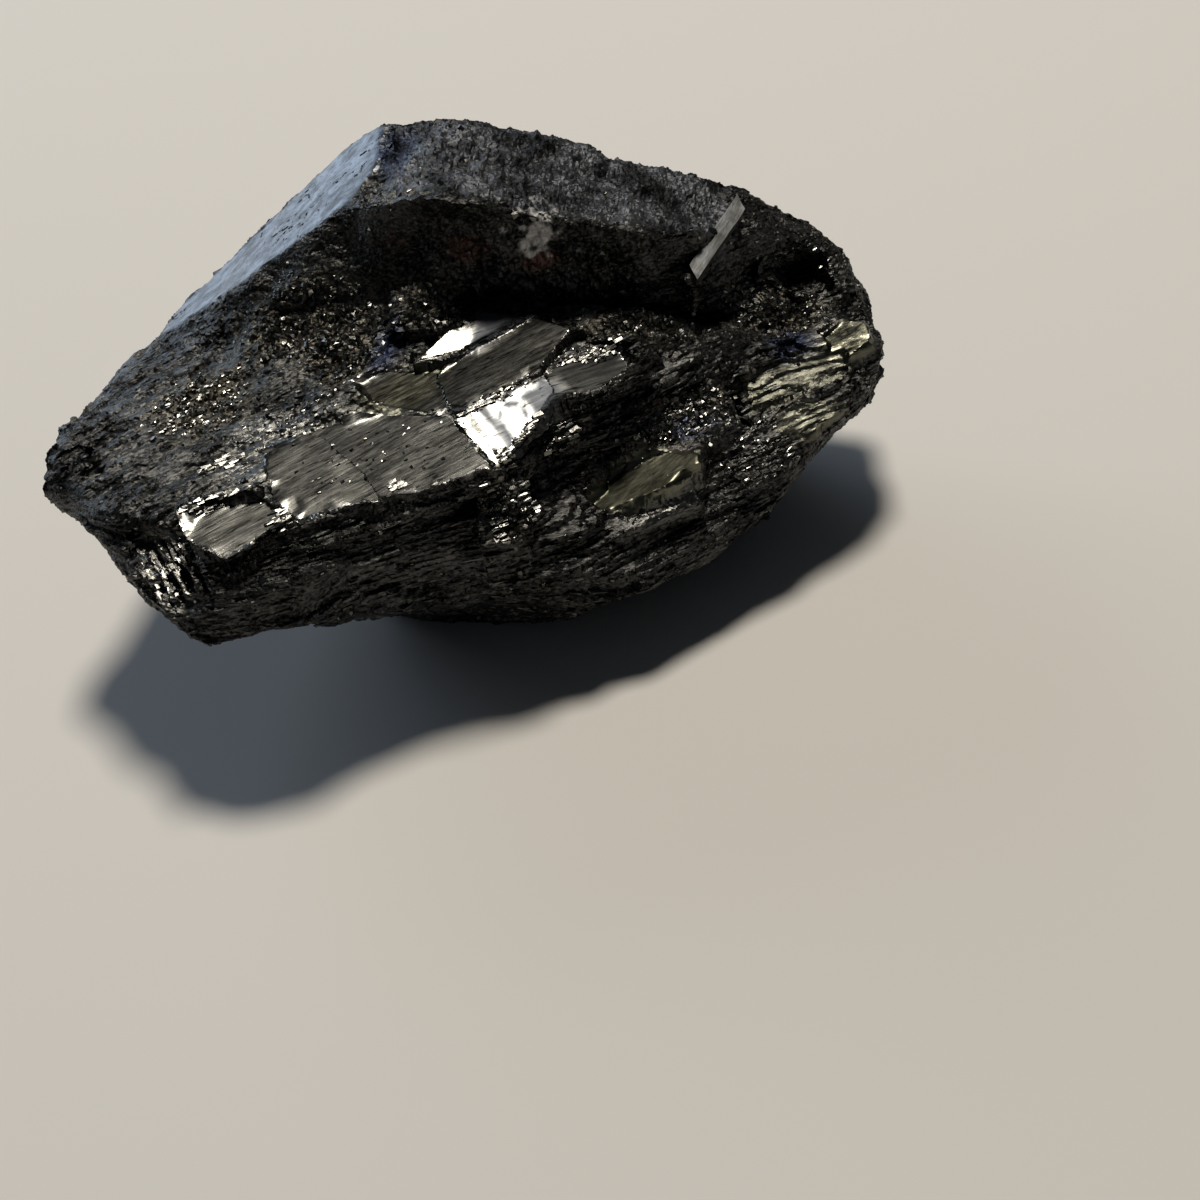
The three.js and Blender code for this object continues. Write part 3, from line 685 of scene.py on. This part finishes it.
raised = metal.sum("MULTIPLY", fibres, metal.range(even, 0, 1, 0.4, 0.15))
raised = metal.sum("ADD", raised, metal.sum("MULTIPLY", hash_marks, metal.range(even, 0, 1, 1.5, 0.0)))
bump = metal.add("ShaderNodeBump", {"Strength": 0.45, "Distance": 0.1 * MM, "Height": raised,
                                    "Normal": leaning})
metal.feed(metal.shader, "Normal", bump.outputs[0])

# So fine a skin is too much for one mesh: it is cut into slices, from left to right.
mark(rock.data)
middles = places(rock.data)[:, 0]
cuts = np.quantile(middles, np.linspace(0, 1, SLICES + 1)[1:-1]) * MM
edges = [-1.0, *cuts, 1.0]
for number, (left, right) in enumerate(zip(edges, edges[1:])):
    slice_name = f"stone_skin_{number + 1}"
    part = bpy.data.objects.new(slice_name, rock.data.copy())
    part.data.name = slice_name
    scene.collection.objects.link(part)
    bm = bmesh.new()
    bm.from_mesh(part.data)
    beyond = [face for face in bm.faces if not left <= face.calc_center_median().x < right]
    bmesh.ops.delete(bm, geom=beyond, context="FACES")
    bm.to_mesh(part.data)
    bm.free()
    crease(part.data, 15)
    part.data.materials.clear()
    part.data.materials.append(metal.material)
    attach(part, "root")
    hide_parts(STONE)
bpy.data.objects.remove(rock)

# ---------------------------------------------------------------------------------------------
# Splinters: where the blades broke along their length, thin slivers of them stand a little
# proud of the surface, all lying the same way. Each is a flat prism of the same sulphide.
# ---------------------------------------------------------------------------------------------
PRISM_RADIUS = 0.7
SPLINTERS = 1100
dice = np.random.default_rng(7)


def pick(weights, count):
    """That many corners of the skin, chosen by their weights."""
    return dice.choice(len(weights), count, replace=False, p=weights / weights.sum())


def lie(points, outward, along, tilt):
    """Upright frames on the surface: along it, across it and out of it, each a little askew."""
    along = along + tilt * dice.normal(size=along.shape)
    outward = unit(outward + tilt * dice.normal(size=outward.shape))
    along = unit(along - np.einsum("ij,ij->i", along, outward)[:, None] * outward)
    return np.stack((along, np.cross(outward, along), outward), axis=2)


def strew(name, chosen, along, sizes, tilt, sides, taper, sunk, shines):
    """Sets one small crystal at each chosen corner of the skin, sunk part of its own height."""
    mesh = bpy.data.meshes.new(name)
    piece = bpy.data.objects.new(name, mesh)
    scene.collection.objects.link(piece)
    bm = bmesh.new()
    turned = Matrix.Rotation(math.pi / sides, 4, "Z")
    bmesh.ops.create_cone(bm, cap_ends=True, segments=sides, radius1=PRISM_RADIUS,
                          radius2=PRISM_RADIUS * taper, depth=1, matrix=turned)
    bmesh.ops.recalc_face_normals(bm, faces=bm.faces)
    bm.to_mesh(mesh)
    bm.free()
    settle(piece, "many", "ARRAY", count=len(chosen), use_relative_offset=False)
    corners = (places(piece.data) * MM).reshape(len(chosen), -1, 3)
    corners *= 1 + 0.3 * dice.uniform(-1, 1, corners.shape)
    corners *= sizes[:, None]
    turns = lie(skin[chosen], calm[chosen], along, tilt)
    middle = skin[chosen] - calm[chosen] * (sizes[:, 2] * sunk)[:, None]
    corners = np.einsum("nij,nkj->nki", turns, corners) + middle[:, None]
    corners = np.clip(corners.reshape(-1, 3), low, high)
    move_to(piece.data, corners)
    keep(piece.data, "grain_lines", grain_lines(corners, front_face(corners)))
    keep(piece.data, "shine", np.repeat(shines, len(corners) // len(chosen)))
    for mask in ("sparkle", "powder", "tarnish", "pale", "rust", "satin_and_warm_reflection", "crevice", "dull"):
        keep(piece.data, mask, np.zeros(len(corners)))
    piece.data.materials.append(metal.material)
    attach(piece, "root")


girdle = (np.abs(skin[:, 2] - 12) < 8) * (np.abs(skin[:, 0]) < 26)
chosen = pick(blades * (1 - kinds["top"]) * (1 - kinds["wall"]) * girdle, SPLINTERS)
sizes = dice.uniform((0.8, 0.12, 0.12), (2.4, 0.34, 0.3), (SPLINTERS, 3))
strew("splinters", chosen, grain_way(skin[chosen], kinds["front"][chosen]), sizes, 0.05, 4, 0.8,
      dice.uniform(0.35, 0.6, SPLINTERS), dice.uniform(0.0, 0.35, SPLINTERS))

# ---------------------------------------------------------------------------------------------
# Grains: where the blades snapped across, the break is a coarse crust of small crystals. Each
# has flat bright faces of its own, turned every way, so that the crust sparkles.
# ---------------------------------------------------------------------------------------------
GRAINS = 3600
sprinkled = (kinds["coarse"] + 0.02 * rough) * (0.15 + 0.85 * ease((skin[:, 0] + 17) / 2))
chosen = pick(sprinkled, GRAINS)
sizes = dice.uniform(0.16, 0.45, (GRAINS, 1)) * dice.uniform(0.7, 1.3, (GRAINS, 3))
strew("grains", chosen, dice.normal(size=(GRAINS, 3)), sizes, 0.6, 5, 0.7,
      dice.uniform(0.0, 0.45, GRAINS), dice.uniform(0.2, 1.0, GRAINS))

# ---------------------------------------------------------------------------------------------
# Crumbs and sparks: where a plate or a rib broke off, small bits of its blades are left behind,
# the crumbs in rows and the finest, the sparks, scattered. They are the same sulphide and lie on
# the same cleavage as the plates, so that they flash together with them.
# ---------------------------------------------------------------------------------------------
RIB_WAY = (0.5, -0.8, -0.31)
BLADE_WAY = (0.86, 0.5, -0.05)
# Each group: its middle, how far it reaches along, across and up, its turn, how many, and their way.
CRUMBS = [
    ((4.6, -10.6, 20.2), (2.2, 0.8, 1.4), -40, 34, BLADE_WAY),
    ((3.2, -12.2, 18.8), (1.4, 0.9, 1.8), -40, 30, BLADE_WAY),
    ((3.2, -13.4, 16.8), (1.3, 1.6, 2.4), 0, 50, BLADE_WAY),
    ((5.7, -8.4, 20.9), (2.6, 0.6, 1.4), 58, 46, BLADE_WAY),
    ((5.6, -11, 16.4), (1.6, 1.6, 2), 0, 20, BLADE_WAY),
    ((-3.8, -13, 19.9), (1.0, 0.7, 1.2), 20, 14, BLADE_WAY),
    ((-17, -15.3, 21.8), (3.2, 0.6, 1.6), 25, 60, BLADE_WAY),
    ((-17.8, -10.2, 21), (2.4, 0.9, 2), 28, 24, BLADE_WAY),
    ((-12, -16.6, 20.5), (1.6, 1.2, 2), 20, 24, BLADE_WAY),
    ((-20.6, -18.6, 18), (2.0, 3.0, 3), -58, 70, RIB_WAY),
    ((-22.6, -16.6, 18), (1.2, 1.2, 2), 0, 16, RIB_WAY),
    ((9.5, -0.6, 21), (5, 0.7, 2), 26, 26, BLADE_WAY),
    ((7.8, -6.6, 19), (3.4, 1.8, 2.6), 50, 44, BLADE_WAY),
    ((2.6, -5.6, 22.2), (3.8, 0.35, 1.4), 31, 30, BLADE_WAY),
]
SPARKS = [
    ((-20.4, -3.6, 21.6), (5.6, 4.4, 3), 50, 300, BLADE_WAY),
    ((-13, -6.5, 21.6), (7, 3.5, 3), 30, 90, BLADE_WAY),
    ((16.4, -0.6, 15), (6.5, 2.6, 2.4), 36, 200, BLADE_WAY),
    ((9.5, -0.4, 21), (6, 1.2, 2), 26, 120, BLADE_WAY),
    ((22, 0.4, 13), (3, 3, 3), 24, 60, BLADE_WAY),
    ((23, -1.6, 11.5), (4, 2, 3), 24, 60, BLADE_WAY),
    ((27, 15, 18), (3.5, 2.5, 2.5), 20, 50, BLADE_WAY),
    ((3.6, -12.8, 17), (2.2, 2.2, 3.4), 0, 110, BLADE_WAY),
    ((-5, -9.8, 20.8), (9, 4, 3), 25, 50, BLADE_WAY),
    ((8.2, -7.2, 17.5), (3.4, 3, 4), 40, 90, BLADE_WAY),
    ((2.6, -5.6, 22.2), (4.4, 0.7, 1.4), 31, 60, BLADE_WAY),
]
for name, groups, smallest, largest, tilt in (
    ("crumbs", CRUMBS, (0.3, 0.15, 0.2), (1.0, 0.42, 0.4), 0.045),
    ("sparks", SPARKS, (0.12, 0.08, 0.14), (0.42, 0.24, 0.3), 0.11),
):
    chosen, ways = [], []
    for centre, reach, turn, count, way in groups:
        near = patch(skin, centre, reach, turn) * (calm[:, 2] > 0.1)
        chosen.append(pick(near, count))
        ways.append(np.tile(way, (count, 1)))
    chosen = np.concatenate(chosen)
    count = len(chosen)
    calm[chosen] = cleavage(skin[chosen])
    strew(name, chosen, np.concatenate(ways), dice.uniform(smallest, largest, (count, 3)), tilt, 4, 0.85,
          dice.uniform(0.0, 0.2, count), dice.uniform(0.6, 1.0, count))

# ---------------------------------------------------------------------------------------------
# The standing plate: one narrow blade of the sulphide that was left behind at the right end of
# the top, when the blades beside it split away. It lies half bedded in the break, and slants up
# towards the back right.
# ---------------------------------------------------------------------------------------------
def set_plate(name, start, end, outward, width, thick, shine):
    """One flat blade from start to end, its broad side facing outward, with slanting ends."""
    piece = bpy.data.objects.new(name, bpy.data.meshes.new(name))
    scene.collection.objects.link(piece)
    start, end = np.array(start), np.array(end)
    length = np.linalg.norm(end - start)
    along = (end - start) / length
    outward = np.array(outward) - along * (np.array(outward) @ along)
    outward = outward / np.linalg.norm(outward)
    turn = np.column_stack((along, np.cross(outward, along), outward))
    bm = bmesh.new()
    bmesh.ops.create_cube(bm, size=1)
    bmesh.ops.subdivide_edges(bm, edges=bm.edges, cuts=11, use_grid_fill=True)
    bm.to_mesh(piece.data)
    bm.free()
    corners = places(piece.data) * MM * (length, width, thick)
    own_lines = corners.copy()
    corners[:, 0] += 0.7 * corners[:, 1]
    corners = corners @ turn.T + (start + end) / 2
    waves = [drift(corners / (1.1, 1.1, 0.7), 90 + axis) for axis in range(3)]
    corners += 0.05 * np.column_stack(waves)
    move_to(piece.data, np.clip(corners, low, high))
    crease(piece.data, 24)
    keep(piece.data, "grain_lines", own_lines)
    for mask, amount in (("shine", shine), ("satin_and_warm_reflection", 0.8), ("powder", 0.8), ("tarnish", 0), ("rust", 0),
                         ("pale", 0), ("sparkle", 0), ("crevice", 0), ("dull", 0)):
        keep(piece.data, mask, np.full(len(corners), float(amount)))
    piece.data.materials.append(metal.material)
    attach(piece, "root")


set_plate("standing_plate", (17.9, 7.7, 23.0), (21.8, 14.4, 24.9), (0.32, -0.2, 0.93), 1.2, 1.1, 0.2)

# ---------------------------------------------------------------------------------------------
# The floor, the light and the camera: a pale plain table, a warm lamp high behind the stone,
# and cool window light from the left.
# ---------------------------------------------------------------------------------------------
FLOOR_HALF = 3
ROOM_GLOW = 0.032
bm = bmesh.new()
bmesh.ops.create_grid(bm, x_segments=1, y_segments=1, size=FLOOR_HALF)
floor_mesh = bpy.data.meshes.new("floor")
bm.to_mesh(floor_mesh)
bm.free()
floor = bpy.data.objects.new("floor", floor_mesh)
scene.collection.objects.link(floor)
paint = bpy.data.materials.new("floor_paint")
paint.use_nodes = True
paint.node_tree.nodes["Principled BSDF"].inputs["Base Color"].default_value = (0.70, 0.68, 0.65, 1)
paint.node_tree.nodes["Principled BSDF"].inputs["Roughness"].default_value = 0.9
floor_mesh.materials.append(paint)


def lamp(name, towards, away, size, power, colour):
    light = bpy.data.lights.new(name, "AREA")
    light.shape = "DISK"
    light.size = size
    light.energy = power
    light.color = colour
    piece = bpy.data.objects.new(name, light)
    way = Vector(towards).normalized()
    piece.location = Vector((0, 0, 0.015)) + way * away
    piece.rotation_euler = way.to_track_quat("Z", "Y").to_euler()
    scene.collection.objects.link(piece)


lamp("lamp_behind", (0.02, 0.29, 0.957), 0.9, 0.2, 6.5, (1.0, 0.93, 0.82))
lamp("window_left", (-0.72, 0.66, 0.24), 0.9, 0.75, 3.9, (0.68, 0.82, 1.0))

world = bpy.data.worlds.new("room")
scene.world = world
world.use_nodes = True
world.node_tree.nodes["Background"].inputs[0].default_value = (0.75, 0.85, 1.0, 1)
world.node_tree.nodes["Background"].inputs[1].default_value = ROOM_GLOW

camera = bpy.data.cameras.new("camera")
camera.lens = 62.82
camera.sensor_width = 36
camera.clip_start = 0.01
eye = bpy.data.objects.new("camera", camera)
scene.collection.objects.link(eye)
right = Vector((0.99287932, 0.048225, -0.10892663))
down = Vector((-0.04558129, -0.69100814, -0.72140842))
ahead = Vector((-0.11005911, 0.72123651, -0.68388953))
turn = Matrix((right, -down, -ahead)).transposed().to_4x4()
eye.matrix_world = Matrix.Translation((0.027735, -0.130142, 0.118788)) @ turn
scene.camera = eye
scene.view_settings.view_transform = "Standard"
